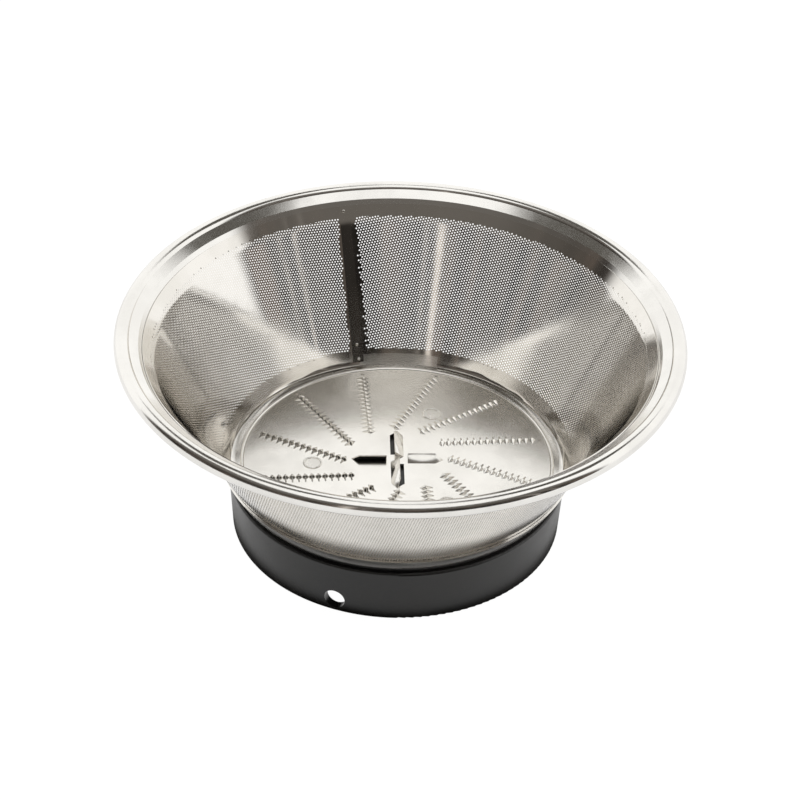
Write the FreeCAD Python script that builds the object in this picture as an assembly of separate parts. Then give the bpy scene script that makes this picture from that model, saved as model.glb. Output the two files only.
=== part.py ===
import FreeCAD, Part
import math
import os

# Juicer mesh screen: a conical sieve on a black drive base, with a grater disc as its floor.
# Origin at the centre of the base's bottom edge, +Z up, millimetres and degrees.

# Sheet thicknesses and assembly clearances
screen_t = 0.5
cup_t = 0.6
disc_t = 0.7
rim_t = 0.7
weld_gap = 0.1
rivet_clearance = 0.1

# Moulded drive base
ring_h = 17.8
ring_wall = 2.6
ring_draft = 3.5
ledge_w = 1.55
neck_h = 1.8
plate_t = 2.6
ring_edge_round = 0.6
rib_count = 6
rib_t = 1.8
rib_bottom = 8.0
side_hole_d = 6.5
side_hole_z = 4.6
side_hole_angle = 250.0

# Drive hub, a coupling insert seated in the base's plate
hub_d = 34.0
hub_bottom = 3.0
hub_clearance = 0.1
spigot_d = 30.0
pilot_bore_d = 26.0
pilot_bore_l = 6.5
socket_d = 23.0
socket_roof = 16.0
dog_count = 6
dog_w = 4.0
dog_depth = 2.4

# Conical screen
foot_d = 97.8
wall_angle = 58.2
screen_slant = 52.8
foot_gap = 0.4
mesh_margin_bottom = 5.6
mesh_margin_top = 3.5
slot_count = 118
slot_w = 0.5
seam_angle = 104.5
lap_w = 4.9

# Steel base cup
cup_hole_d = 37.0
cup_bend = 0.8
upstand_slant = 5.4

# Rolled rim
skirt_lap = 3.3
rim_reveal = 1.2
flare_angle = 42.0
flare_l = 4.2
bead_r = 2.4
rim_bend = 1.5
curl_end = -70.0

# Grater disc
groove_w = 0.8
edge_bead_w = 1.2
edge_bead_h = 0.5
row_count = 12
row_first_angle = 6.0
row_offset = 7.3
row_start = 14.6
tooth_count = 15
tooth_pitch = 2.0
tooth_tip = 1.0
tooth_wing = 2.1
tooth_sweep = 0.9
tooth_notch = 0.25
tooth_h = 1.1
cross_angle = 2.5
cross_long = 14.6
cross_short = 13.2
cross_gap = 2.2
cross_w = 4.2
cross_h = 2.0
cross_point = 2.6
press_depth = 0.3

# Flush rivets
rivet_count = 3
rivet_first_angle = 66.8
rivet_circle_r = 26.0
rivet_d = 5.5
rivet_head_d = 8.5
rivet_head_t = 1.2
rivet_round = 0.3

# Levels and the cone's frame
AXIS = FreeCAD.Vector(0, 0, 1)
ORIGIN = FreeCAD.Vector(0, 0, 0)
plate_top = ring_h + neck_h
plate_bottom = plate_top - plate_t
floor_z = plate_top + cup_t
disc_top = floor_z + disc_t
slope = math.radians(wall_angle)
foot_r = foot_d / 2
cup_n = screen_t + weld_gap
skirt_n = screen_t + weld_gap


def point(r, z):
    """Point in the section plane, radius out along X."""
    return FreeCAD.Vector(r, 0, z)


def cone_point(s, n):
    """Section point at slant distance s up the screen's inner face, n outwards from that face."""
    r = foot_r + s * math.cos(slope) + n * math.sin(slope)
    z = floor_z + s * math.sin(slope) - n * math.cos(slope)
    return point(r, z)


def polar(centre, radius, degrees):
    """Section point on a circle about a section point."""
    angle = math.radians(degrees)
    return centre + point(radius * math.cos(angle), radius * math.sin(angle))


def line(a, b):
    return Part.LineSegment(a, b).toShape()


def arc(centre, radius, start, end):
    """Arc about a section point between two angles in degrees."""
    middle = polar(centre, radius, (start + end) / 2)
    return Part.Arc(polar(centre, radius, start), middle, polar(centre, radius, end)).toShape()


def outline(corners):
    """Closed section from (r, z, round) corners, each rounded off by its own radius."""
    edges = []
    ends = []
    for index, (r, z, radius) in enumerate(corners):
        here = point(r, z)
        back = (point(*corners[index - 1][:2]) - here).normalize()
        ahead = (point(*corners[(index + 1) % len(corners)][:2]) - here).normalize()
        half = back.getAngle(ahead) / 2
        reach = radius / math.tan(half)
        ends.append((here + back * reach, here + ahead * reach))
        if radius > 0:
            inward = (back + ahead).normalize()
            middle = here + inward * (radius / math.sin(half) - radius)
            edges.append(Part.Arc(ends[-1][0], middle, ends[-1][1]).toShape())
    for index in range(len(corners)):
        edges.append(line(ends[index - 1][1], ends[index][0]))
    return edges


def turn(edges, degrees=360.0):
    """Solid of revolution about the Z axis from the edges of a closed section."""
    wire = Part.Wire(Part.__sortEdges__(edges))
    return Part.Face(wire).revolve(ORIGIN, AXIS, degrees)


def faceted(faces):
    """Solid from flat faces given as lists of points."""
    shell = Part.Shell([Part.Face(Part.makePolygon(list(face) + [face[0]])) for face in faces])
    solid = Part.Solid(shell)
    if solid.Volume < 0:
        solid.reverse()
    return solid


def turned_copy(shape, degrees):
    """Copy of a shape turned about the Z axis."""
    copy = shape.copy()
    copy.rotate(ORIGIN, AXIS, degrees)
    return copy


def pattern(shape, count, first_angle=0.0):
    """Equally spaced copies round the Z axis."""
    return [turned_copy(shape, first_angle + 360.0 * index / count) for index in range(count)]


def make_rim_ring():
    """Skirt lapped outside the screen's top margin, bent out into a flare and a rolled bead."""
    skirt_start = screen_slant - skirt_lap
    kink = cone_point(screen_slant + rim_reveal, skirt_n)
    flare = math.radians(flare_angle)
    flare_end = kink + point(math.cos(flare), math.sin(flare)) * flare_l
    right_of_flare = point(math.sin(flare), -math.cos(flare))
    right_of_wall = point(math.sin(slope), -math.cos(slope))
    bead = flare_end + right_of_flare * bead_r
    both = right_of_flare + right_of_wall
    bend_outer = rim_bend + rim_t
    bend = kink + both * (bend_outer / (1 + right_of_flare.dot(right_of_wall)))
    wall_side = wall_angle + 90
    flare_side = flare_angle + 90
    skirt_in = cone_point(skirt_start, skirt_n)
    skirt_out = cone_point(skirt_start, skirt_n + rim_t)
    curl_r = bead_r - rim_t
    bead_side = (flare_side + curl_end) / 2
    edges = [
        line(skirt_in, polar(bend, bend_outer, wall_side)),
        arc(bend, bend_outer, wall_side, flare_side),
        line(polar(bend, bend_outer, flare_side), polar(bead, bead_r, flare_side)),
        arc(bead, bead_r, flare_side, bead_side),
        arc(bead, bead_r, bead_side, curl_end),
        line(polar(bead, bead_r, curl_end), polar(bead, curl_r, curl_end)),
        arc(bead, curl_r, curl_end, bead_side),
        arc(bead, curl_r, bead_side, flare_side),
        line(polar(bead, curl_r, flare_side), polar(bend, rim_bend, flare_side)),
        arc(bend, rim_bend, flare_side, wall_side),
        line(polar(bend, rim_bend, wall_side), skirt_out),
        line(skirt_out, skirt_in),
    ]
    return turn(edges)


def sheet_band(start, end, inner, outer, degrees=360.0):
    """Band of cone between two slant distances and two offsets from the screen's inner face."""
    corners = [
        cone_point(start, inner),
        cone_point(end, inner),
        cone_point(end, outer),
        cone_point(start, outer),
    ]
    return turn([line(corners[index - 1], corners[index]) for index in range(4)], degrees)


def make_sieve_screen():
    """Etched sheet wound into a cone: slots stand for lines of etched holes, one lapped seam."""
    sheet_start = foot_gap + screen_t / math.tan(slope)
    cone = sheet_band(sheet_start, screen_slant, 0, screen_t)
    lap = sheet_band(sheet_start, screen_slant, -screen_t, 0)
    reach = cone_point(screen_slant, 0)
    strip = Part.makeBox(reach.x, lap_w, reach.z, FreeCAD.Vector(0, -lap_w / 2, 0))
    cone = cone.fuse(lap.common(strip))
    mesh_end = screen_slant - mesh_margin_top
    mesh_middle_r = cone_point((mesh_margin_bottom + mesh_end) / 2, 0).x
    slot_angle = math.degrees(slot_w / mesh_middle_r)
    seam_arc = math.degrees(lap_w / cone_point(mesh_margin_bottom, 0).x)
    slot = sheet_band(mesh_margin_bottom, mesh_end, -screen_t, 2 * screen_t, slot_angle)
    pitch = (360.0 - seam_arc) / slot_count
    first = (seam_arc + pitch - slot_angle) / 2
    slots = [turned_copy(slot, first + pitch * index) for index in range(slot_count)]
    return turned_copy(cone.cut(Part.makeCompound(slots)), seam_angle)


def cup_foot_r():
    """Radius where the cup's outer cone would meet the top of the moulded plate."""
    n = cup_n + cup_t
    s = (n * math.cos(slope) - cup_t) / math.sin(slope)
    return cone_point(s, n).x


def make_base_cup():
    """Dished plate with a conical upstand outside the screen's foot and a rounded free edge."""
    hole_r = cup_hole_d / 2
    bend_s = (cup_bend + (cup_n - cup_bend) * math.cos(slope)) / math.sin(slope)
    bend = cone_point(bend_s, cup_n - cup_bend)
    wall_side = wall_angle - 90
    lip_in = cone_point(upstand_slant, cup_n)
    lip_out = cone_point(upstand_slant, cup_n + cup_t)
    lip_top = cone_point(upstand_slant + cup_t / 2, cup_n + cup_t / 2)
    bend_outer = cup_bend + cup_t
    edges = [
        line(point(hole_r, floor_z), polar(bend, cup_bend, -90)),
        arc(bend, cup_bend, -90, wall_side),
        line(polar(bend, cup_bend, wall_side), lip_in),
        Part.Arc(lip_in, lip_top, lip_out).toShape(),
        line(lip_out, polar(bend, bend_outer, wall_side)),
        arc(bend, bend_outer, wall_side, -90),
        line(polar(bend, bend_outer, -90), point(hole_r, plate_top)),
        line(point(hole_r, plate_top), point(hole_r, floor_z)),
    ]
    return turn(edges).cut(Part.makeCompound(rivet_holes()))


def rivet_holes():
    """Cutters for the rivets' holes through disc, cup and plate."""
    depth = disc_top - plate_bottom
    start = FreeCAD.Vector(rivet_circle_r, 0, plate_bottom - depth)
    hole = Part.makeCylinder(rivet_d / 2 + rivet_clearance, 3 * depth, start)
    return pattern(hole, rivet_count, rivet_first_angle)


def make_disc_rivets():
    """Shanks flush with the disc, with a formed head under the moulded plate."""
    shank_r = rivet_d / 2
    head_r = rivet_head_d / 2
    head_z = plate_bottom - rivet_head_t
    rivet = turn(outline([
        (0, head_z, 0),
        (head_r, head_z, rivet_round),
        (head_r, plate_bottom, 0),
        (shank_r, plate_bottom, 0),
        (shank_r, disc_top, rivet_round),
        (0, disc_top, 0),
    ]))
    rivet.translate(FreeCAD.Vector(rivet_circle_r, 0, 0))
    return Part.makeCompound(pattern(rivet, rivet_count, rivet_first_angle))


def make_tooth():
    """Arrow-shaped tooth pushed up out of the sheet, its tip along +X."""
    base = disc_top - press_depth
    depth_share = press_depth / tooth_h
    crest = FreeCAD.Vector(0, 0, disc_top + tooth_h)
    rim = [(tooth_tip, 0), (-tooth_sweep, tooth_wing), (-tooth_notch, 0), (-tooth_sweep, -tooth_wing)]
    foot = [FreeCAD.Vector(x * (1 + depth_share), y * (1 + depth_share), base) for x, y in rim]
    sides = [(foot[index - 1], foot[index], crest) for index in range(4)]
    return faceted(sides + [foot])


def make_tooth_rows():
    """Rows of teeth, each a straight line that passes the centre at the same distance."""
    tooth = make_tooth()
    teeth = []
    for index in range(tooth_count):
        copy = tooth.copy()
        copy.translate(FreeCAD.Vector(row_start + tooth_pitch * index, row_offset, 0))
        teeth += pattern(copy, row_count, row_first_angle)
    return teeth


def make_cross_rib(length):
    """Roof-shaped rib from the centre gap out to a pointed end along +X."""
    half = cross_w / 2
    base = disc_top - press_depth
    ridge_z = disc_top + cross_h
    shoulder = length - cross_point
    left = FreeCAD.Vector(cross_gap, half, base)
    right = FreeCAD.Vector(cross_gap, -half, base)
    shoulder_left = FreeCAD.Vector(shoulder, half, base)
    shoulder_right = FreeCAD.Vector(shoulder, -half, base)
    tip = FreeCAD.Vector(length, 0, base)
    ridge_in = FreeCAD.Vector(cross_gap, 0, ridge_z)
    ridge_out = FreeCAD.Vector(shoulder, 0, ridge_z)
    return faceted([
        [left, shoulder_left, ridge_out, ridge_in],
        [right, ridge_in, ridge_out, shoulder_right],
        [shoulder_left, tip, ridge_out],
        [tip, shoulder_right, ridge_out],
        [left, ridge_in, right],
        [left, right, shoulder_right, tip, shoulder_left],
    ])


def make_grater_disc():
    """Flat pressed disc with an edge bead, rows of teeth, a raised cross and rivet holes."""
    disc_r = foot_r - groove_w
    bead_in = disc_r - edge_bead_w
    bead_top = disc_top + edge_bead_h
    bead_round = 0.9 * min(edge_bead_w / 2, edge_bead_h)
    disc = turn(outline([
        (0, floor_z, 0),
        (disc_r, floor_z, 0),
        (disc_r, bead_top, bead_round),
        (bead_in, bead_top, bead_round),
        (bead_in, disc_top, 0),
        (0, disc_top, 0),
    ]))
    ribs = pattern(make_cross_rib(cross_short), 2, cross_angle)
    ribs += pattern(make_cross_rib(cross_long), 2, cross_angle + 90)
    disc = disc.fuse(make_tooth_rows() + ribs)
    return disc.cut(Part.makeCompound(rivet_holes()))


def make_drive_base():
    """Skirt ring and plate in one moulding, with ribs, a seat for the hub and a side hole."""
    neck_r = cup_foot_r()
    ring_top_r = neck_r + ledge_w
    draft = ring_h * math.tan(math.radians(ring_draft))
    ring_bottom_r = ring_top_r - draft
    inner_draft = draft * plate_bottom / ring_h
    inner_bottom_r = ring_bottom_r - ring_wall
    seat_r = spigot_d / 2 + hub_clearance
    body = turn(outline([
        (seat_r, plate_bottom, 0),
        (inner_bottom_r + inner_draft, plate_bottom, ring_edge_round),
        (inner_bottom_r, 0, ring_edge_round),
        (ring_bottom_r, 0, ring_edge_round),
        (ring_top_r, ring_h, ring_edge_round),
        (neck_r, ring_h, 0),
        (neck_r, plate_top, 0),
        (seat_r, plate_top, 0),
    ]))
    rib_end = inner_bottom_r + draft * rib_bottom / ring_h + ring_wall / 2
    rib_start = hub_d / 2 + hub_clearance
    rib_h = (plate_bottom + plate_top) / 2 - rib_bottom
    rib = Part.makeBox(rib_end - rib_start, rib_t, rib_h, FreeCAD.Vector(rib_start, -rib_t / 2, rib_bottom))
    body = body.fuse(pattern(rib, rib_count, rivet_first_angle + 180.0 / rib_count))
    side_hole = Part.makeCylinder(
        side_hole_d / 2,
        3 * ring_wall,
        FreeCAD.Vector(inner_bottom_r - ring_wall, 0, side_hole_z),
        FreeCAD.Vector(1, 0, 0),
    )
    return body.cut(Part.makeCompound(rivet_holes() + [turned_copy(side_hole, side_hole_angle)]))


def make_drive_hub():
    """Coupling insert: a spigot through the plate, a shoulder under it, a pilot bore and a dogged socket."""
    hub_r = hub_d / 2
    spigot_r = spigot_d / 2
    pilot_r = pilot_bore_d / 2
    socket_r = socket_d / 2
    pilot_end = hub_bottom + pilot_bore_l
    hub = turn(outline([
        (0, socket_roof, 0),
        (socket_r, socket_roof, 0),
        (socket_r, pilot_end, 0),
        (pilot_r, pilot_end, 0),
        (pilot_r, hub_bottom, 0),
        (hub_r, hub_bottom, ring_edge_round),
        (hub_r, plate_bottom, 0),
        (spigot_r, plate_bottom, 0),
        (spigot_r, plate_top, 0),
        (0, plate_top, 0),
    ]))
    dog_start = socket_r - dog_depth
    dog_end = (socket_r + pilot_r) / 2
    dog_h = (socket_roof + plate_top) / 2 - pilot_end
    dog = Part.makeBox(dog_end - dog_start, dog_w, dog_h, FreeCAD.Vector(dog_start, -dog_w / 2, pilot_end))
    return hub.fuse(pattern(dog, dog_count))


os.makedirs("parts", exist_ok=True)
nodes = {
    "rim_ring": make_rim_ring(),
    "sieve_screen": make_sieve_screen(),
    "base_cup": make_base_cup(),
    "grater_disc": make_grater_disc(),
    "disc_rivets": make_disc_rivets(),
    "drive_base": make_drive_base(),
    "drive_hub": make_drive_hub(),
}
for name, shape in nodes.items():
    shape.exportStep("parts/" + name + ".step")
    box = shape.BoundBox
    print(name, "solids", len(shape.Solids), "valid", shape.isValid(), "volume", round(shape.Volume, 1))
    print("  r", round(box.XMax, 2), "z", round(box.ZMin, 2), round(box.ZMax, 2))
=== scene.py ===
# %% [markdown]
# Juicer mesh screen.
# The object is a conical steel basket for a centrifugal juicer: a black moulded base, a satin grater disc,
# an etched screen and a rolled rim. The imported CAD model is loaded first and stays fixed. The base, its hub
# and the rivets already have their true shape and only get a better finish. The screen, the rim, the disc
# and the cup are modelled again here, because holes, scoops and thin folds are too fine for the solids.

# %% Load the fixed frame
import math
import bpy
import numpy as np
from mathutils import Matrix, Vector


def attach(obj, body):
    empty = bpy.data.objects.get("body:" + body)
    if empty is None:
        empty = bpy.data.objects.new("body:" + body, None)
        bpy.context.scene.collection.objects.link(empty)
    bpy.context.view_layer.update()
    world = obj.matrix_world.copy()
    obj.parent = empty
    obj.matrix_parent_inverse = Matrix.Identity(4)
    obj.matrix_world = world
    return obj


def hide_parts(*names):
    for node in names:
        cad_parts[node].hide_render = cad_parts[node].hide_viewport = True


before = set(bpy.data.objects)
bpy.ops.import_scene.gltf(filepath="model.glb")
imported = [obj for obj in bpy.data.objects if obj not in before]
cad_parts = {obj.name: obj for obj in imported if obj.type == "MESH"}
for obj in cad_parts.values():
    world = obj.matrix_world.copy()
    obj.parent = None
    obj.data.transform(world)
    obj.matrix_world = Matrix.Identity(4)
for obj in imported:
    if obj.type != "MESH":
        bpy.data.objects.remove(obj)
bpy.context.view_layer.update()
MM = 0.001
print("nodes", sorted(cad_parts))

# %% [markdown]
# The camera was fitted to the rim, the disc's edge and the base in the photograph. A long lens looks down
# at about 36 degrees, with a slight roll. The picture is square, so the sensor width sets the field of view.

# %% Camera at the photograph's angle
CAMERA_DISTANCE = 0.85
elevation = math.radians(36.264)
roll = math.radians(1.759)
aim = Vector((0.318, 0.0, 43.455)) * MM
forward = Vector((0, math.cos(elevation), -math.sin(elevation)))
level_up = Vector((0, math.sin(elevation), math.cos(elevation)))
right = Vector((math.cos(roll), 0, 0)) + level_up * math.sin(roll)
up = Vector((-math.sin(roll), 0, 0)) + level_up * math.cos(roll)
camera_data = bpy.data.cameras.new("photo_camera")
camera_data.sensor_width = 36.0
camera_data.lens = 126.76
camera_data.clip_start = 0.01
camera = bpy.data.objects.new("photo_camera", camera_data)
bpy.context.scene.collection.objects.link(camera)
camera_turn = Matrix((right, up, -forward)).transposed().to_4x4()
camera.matrix_world = Matrix.Translation(aim - forward * CAMERA_DISTANCE) @ camera_turn
bpy.context.scene.camera = camera
bpy.context.scene.view_settings.view_transform = "Standard"
print("camera at", [round(c, 3) for c in camera.location])

# %% [markdown]
# World and materials are both node trees. A few helpers add a node and link it in one line, so that the
# cells below read as the node editor does: values go in on the left, and a colour comes out on the right.

# %% Helpers for node trees


def add_node(tree, kind, **inputs):
    """Add a node and set its sockets by name, where a space is written as an underscore."""
    node = tree.nodes.new(kind)
    for name, value in inputs.items():
        node.inputs[name.replace("_", " ")].default_value = value
    return node


def math_node(tree, operation, a, b=None):
    """Add a Math node fed by sockets or numbers and return its output."""
    node = tree.nodes.new("ShaderNodeMath")
    node.operation = operation
    for socket, value in zip(node.inputs, (a, b)):
        if isinstance(value, bpy.types.NodeSocket):
            tree.links.new(value, socket)
        elif value is not None:
            socket.default_value = value
    return node.outputs[0]


def ease(tree, value, low, high):
    """Smooth step from 0 at low to 1 at high, which may be lower than low."""
    node = tree.nodes.new("ShaderNodeMapRange")
    node.interpolation_type = "SMOOTHSTEP"
    node.inputs["From Min"].default_value = low
    node.inputs["From Max"].default_value = high
    tree.links.new(value, node.inputs["Value"])
    return node.outputs["Result"]


def mix_colour(tree, factor, a, b):
    """Mix two colours, given as sockets or values, and return the result."""
    node = tree.nodes.new("ShaderNodeMix")
    node.data_type = "RGBA"
    tree.links.new(factor, node.inputs["Factor"])
    for socket, value in ((node.inputs[6], a), (node.inputs[7], b)):
        if isinstance(value, bpy.types.NodeSocket):
            tree.links.new(value, socket)
        else:
            socket.default_value = value
    return node.outputs[2]


def towards(tree, direction, level, angle):
    """Cosine of the level angle between the looked-at direction and a compass angle."""
    dot = tree.nodes.new("ShaderNodeVectorMath")
    dot.operation = "DOT_PRODUCT"
    dot.inputs[1].default_value = (math.cos(angle), math.sin(angle), 0)
    tree.links.new(direction, dot.inputs[0])
    return math_node(tree, "DIVIDE", dot.outputs["Value"], level)


print("node helpers", [helper.__name__ for helper in (add_node, math_node, ease, mix_colour, towards)])

# %% [markdown]
# Polished steel shows its surroundings more than itself, so the studio matters as much as the metal. The
# photograph's reflections tell what stood around it: white paper below, behind, above and to the right, and
# a dark room on the camera's side and to the left. The world paints that room as a dark sector with a few
# brown and pale upright streaks, which fade into a dim haze higher up. Camera rays see plain white, so every
# view has a white background. Heights are given as the sine of the angle above the horizon.

# %% Where the room is
ROOM_MIDDLE = math.radians(257)
ROOM_SIDE = (-0.10, 0.02)
ROOM_TOP = (0.87, 0.82)
JUST_OVER_ONE = 1.0001
world = bpy.data.worlds.new("studio")
bpy.context.scene.world = world
world.use_nodes = True
sky = world.node_tree
sky.nodes.clear()
direction = sky.nodes.new("ShaderNodeTexCoord").outputs["Generated"]
split = sky.nodes.new("ShaderNodeSeparateXYZ")
sky.links.new(direction, split.inputs[0])
height = split.outputs["Z"]
squared = math_node(sky, "MULTIPLY", height, height)
level = math_node(sky, "SQRT", math_node(sky, "SUBTRACT", JUST_OVER_ONE, squared))
in_room = ease(sky, towards(sky, direction, level, ROOM_MIDDLE), *ROOM_SIDE)
in_room = math_node(sky, "MULTIPLY", in_room, ease(sky, height, *ROOM_TOP))
print("nodes that find the room", len(sky.nodes))

# %% What the room shows
# Each streak has a compass angle, the cosine where it begins and a brightness.
STREAKS = ((252.5, 0.9993, 0.85), (259.5, 0.9996, 0.22), (322.0, 0.9997, 0.40), (329.0, 0.9998, 0.30))
STREAK_TOP = (0.75, 0.60)
HAZE = (0.40, 0.72)
HAZE_TONE = (0.15, 0.138, 0.125, 1)
stretch = add_node(sky, "ShaderNodeMapping", Scale=(5.0, 5.0, 0.7))
sky.links.new(direction, stretch.inputs["Vector"])
clutter = add_node(sky, "ShaderNodeTexNoise", Scale=1.7, Detail=3.0)
sky.links.new(stretch.outputs[0], clutter.inputs["Vector"])
room = sky.nodes.new("ShaderNodeValToRGB")
room.color_ramp.elements[0].position = 0.30
room.color_ramp.elements[0].color = (0.010, 0.009, 0.008, 1)
room.color_ramp.elements[1].position = 0.75
room.color_ramp.elements[1].color = (0.20, 0.15, 0.12, 1)
room.color_ramp.elements.new(0.52).color = (0.075, 0.066, 0.058, 1)
sky.links.new(clutter.outputs["Fac"], room.inputs["Fac"])
shown = room.outputs["Color"]
for angle, begins, glow in STREAKS:
    full = 1 - (1 - begins) * 0.3
    streak = ease(sky, towards(sky, direction, level, math.radians(angle)), begins, full)
    streak = math_node(sky, "MULTIPLY", streak, ease(sky, height, *STREAK_TOP))
    shown = mix_colour(sky, streak, shown, (glow, glow * 0.92, glow * 0.84, 1))
shown = mix_colour(sky, ease(sky, height, *HAZE), shown, HAZE_TONE)
print("streaks", len(STREAKS))

# %% Paper all round and the background
PAPER = (1.12, 1.115, 1.10, 1.0)
WHITE = (1, 1, 1, 1)
shown = mix_colour(sky, in_room, PAPER, shown)
rays = sky.nodes.new("ShaderNodeLightPath")
shown = mix_colour(sky, rays.outputs["Is Camera Ray"], shown, WHITE)
background = add_node(sky, "ShaderNodeBackground", Strength=1.0)
sky.links.new(shown, background.inputs["Color"])
sky.links.new(background.outputs[0], sky.nodes.new("ShaderNodeOutputWorld").inputs["Surface"])
print("world nodes", len(sky.nodes))

# %% [markdown]
# The floor is white paper. For the camera and in the metal it glows a little, so that it reads as white as
# the background, and the rest of it is plain diffuse paper, which keeps a soft shadow under the base. Close
# round the base the glow in the metal fades out, a painted shadow that the metal mirrors under the base. A
# hole under the base, out of sight from above, lets the light and the eye reach the base's underside.

# %% White paper floor
FLOOR_R = 3.0
FLOOR_HOLE_R = 48.5 * MM


def deselect():
    """Leave nothing selected, so that the next operator touches only the new piece."""
    if bpy.context.object and bpy.context.object.mode != "OBJECT":
        bpy.ops.object.mode_set(mode="OBJECT")
    bpy.ops.object.select_all(action="DESELECT")


deselect()
bpy.ops.mesh.primitive_circle_add(vertices=96, radius=FLOOR_R, fill_type="NOTHING", location=(0, 0, 0))
floor = bpy.context.object
floor.name = "paper_floor"
bpy.ops.object.mode_set(mode="EDIT")
bpy.ops.mesh.select_all(action="SELECT")
bpy.ops.mesh.extrude_edges_move()
bpy.ops.transform.resize(value=(FLOOR_HOLE_R / FLOOR_R,) * 3)
bpy.ops.object.mode_set(mode="OBJECT")
print("floor radius", round(floor.dimensions.x / 2, 2))

# %% Paper that glows for the camera and in the metal
PAPER_GLOW = 1.12
SEEN_SHARE = 0.88
MIRRORED_SHARE = 0.66
DARK_TO = 51.5 * MM
BRIGHT_FROM = 55.0 * MM
paper = bpy.data.materials.new("white_paper")
paper.use_nodes = True
tree = paper.node_tree
tree.nodes.clear()
matt = add_node(tree, "ShaderNodeBsdfDiffuse", Color=(0.93, 0.93, 0.92, 1))
glow = add_node(tree, "ShaderNodeEmission", Color=WHITE)
share = tree.nodes.new("ShaderNodeMixShader")
rays = tree.nodes.new("ShaderNodeLightPath")
from_middle = tree.nodes.new("ShaderNodeVectorMath")
from_middle.operation = "LENGTH"
tree.links.new(tree.nodes.new("ShaderNodeTexCoord").outputs["Object"], from_middle.inputs[0])
# Painted shadow: the floor's glow fades out close round the base, so the metal mirrors a dark ring there as
# the base's shadow.
beyond_painted_shadow = ease(tree, from_middle.outputs["Value"], DARK_TO, BRIGHT_FROM)
lit = math_node(tree, "MAXIMUM", rays.outputs["Is Camera Ray"], beyond_painted_shadow)
tree.links.new(math_node(tree, "MULTIPLY", lit, PAPER_GLOW), glow.inputs["Strength"])
mirrored = math_node(tree, "MAXIMUM", rays.outputs["Is Glossy Ray"], rays.outputs["Is Transmission Ray"])
mirrored = math_node(tree, "MULTIPLY", mirrored, MIRRORED_SHARE)
seen = math_node(tree, "MULTIPLY", rays.outputs["Is Camera Ray"], SEEN_SHARE)
tree.links.new(math_node(tree, "MAXIMUM", seen, mirrored), share.inputs["Fac"])
tree.links.new(matt.outputs[0], share.inputs[1])
tree.links.new(glow.outputs[0], share.inputs[2])
tree.links.new(share.outputs[0], tree.nodes.new("ShaderNodeOutputMaterial").inputs["Surface"])
floor.data.materials.append(paper)
print("paper nodes", len(tree.nodes))

# %% [markdown]
# Faces, edges and points are picked in code by their place. Small helpers read and write the places of a
# mesh, open edit mode with only the wanted part selected, as a click or a box selection would, and do what
# each piece needs in the end: one way for its faces, a modifier applied, or its parts joined.

# %% Helpers for mesh work
# Tolerances in metres: HAIR for places on one line or arc, SAME for places that are one point.
HAIR = 1e-6
SAME = 1e-7


def read_places(mesh):
    """Vertex places as an array."""
    places = np.empty(len(mesh.vertices) * 3)
    mesh.vertices.foreach_get("co", places)
    return places.reshape(-1, 3)


def write_places(mesh, places):
    """Put vertices at new places."""
    mesh.vertices.foreach_set("co", places.reshape(-1))
    mesh.update()


def read_ends(mesh):
    """The two vertex numbers of each edge."""
    ends = np.empty(len(mesh.edges) * 2, np.int32)
    mesh.edges.foreach_get("vertices", ends)
    return ends.reshape(-1, 2)


def read_areas(mesh):
    """Area of each face."""
    areas = np.empty(len(mesh.polygons))
    mesh.polygons.foreach_get("area", areas)
    return areas


def activate(piece):
    """Select one piece alone and make it the active one."""
    deselect()
    bpy.context.view_layer.objects.active = piece
    piece.select_set(True)


def pick(piece, kind, chosen):
    """Enter edit mode with only these vertices, edges or faces selected."""
    activate(piece)
    bpy.ops.object.mode_set(mode="EDIT")
    bpy.ops.mesh.select_mode(type={"vertices": "VERT", "edges": "EDGE", "polygons": "FACE"}[kind])
    bpy.ops.mesh.select_all(action="DESELECT")
    bpy.ops.object.mode_set(mode="OBJECT")
    getattr(piece.data, kind).foreach_set("select", np.asarray(chosen, bool))
    bpy.ops.object.mode_set(mode="EDIT")


def face_outwards():
    """Turn all faces of the edited mesh outwards and leave edit mode."""
    bpy.ops.mesh.select_all(action="SELECT")
    bpy.ops.mesh.normals_make_consistent(inside=False)
    bpy.ops.object.mode_set(mode="OBJECT")


def apply_modifier(piece, kind, **values):
    """Add a modifier with these values and apply it."""
    activate(piece)
    bpy.ops.object.modifier_add(type=kind)
    for name, value in values.items():
        setattr(piece.modifiers[-1], name, value)
    bpy.ops.object.modifier_apply(modifier=piece.modifiers[-1].name)


def join(pieces):
    """Join pieces into the first one."""
    deselect()
    for piece in pieces:
        piece.select_set(True)
    bpy.context.view_layer.objects.active = pieces[0]
    bpy.ops.object.join()
    return pieces[0]


print("floor points", len(read_places(floor.data)))

# %% [markdown]
# Over the far half of the basket the photograph's disc turns dark, while its near half stays white. A dark
# card above the basket, seen only in the metal, gives that, so that it throws no shadow and no light of its
# own. Its far middle is open, because the rim's flare at the back stays bright there.

# %% Dark card above
CARD_Z = 0.5
CARD_Y = 0.245
CARD_HALF = (0.3, 0.155)
CARD_FRONT_SHIFT = -0.10
CARD_GAP_SHARE = 0.4
deselect()
bpy.ops.mesh.primitive_grid_add(x_subdivisions=3, y_subdivisions=2, size=2, location=(0, 0, CARD_Z))
card = bpy.context.object
card.name = "dark_card"
bpy.ops.object.mode_set(mode="EDIT")
bpy.ops.transform.resize(value=(*CARD_HALF, 1))
bpy.ops.transform.translate(value=(0, CARD_Y, 0))
bpy.ops.object.mode_set(mode="OBJECT")
pick(card, "vertices", np.abs(read_places(card.data)[:, 1] - CARD_Y) < 0.01)
bpy.ops.transform.translate(value=(0, CARD_FRONT_SHIFT, 0))
bpy.ops.object.mode_set(mode="OBJECT")
pick(card, "vertices", np.abs(read_places(card.data)[:, 0]) < CARD_HALF[0] / 2)
bpy.ops.transform.resize(value=(CARD_GAP_SHARE, 1, 1), center_override=(0, 0, CARD_Z))
bpy.ops.object.mode_set(mode="OBJECT")
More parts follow.
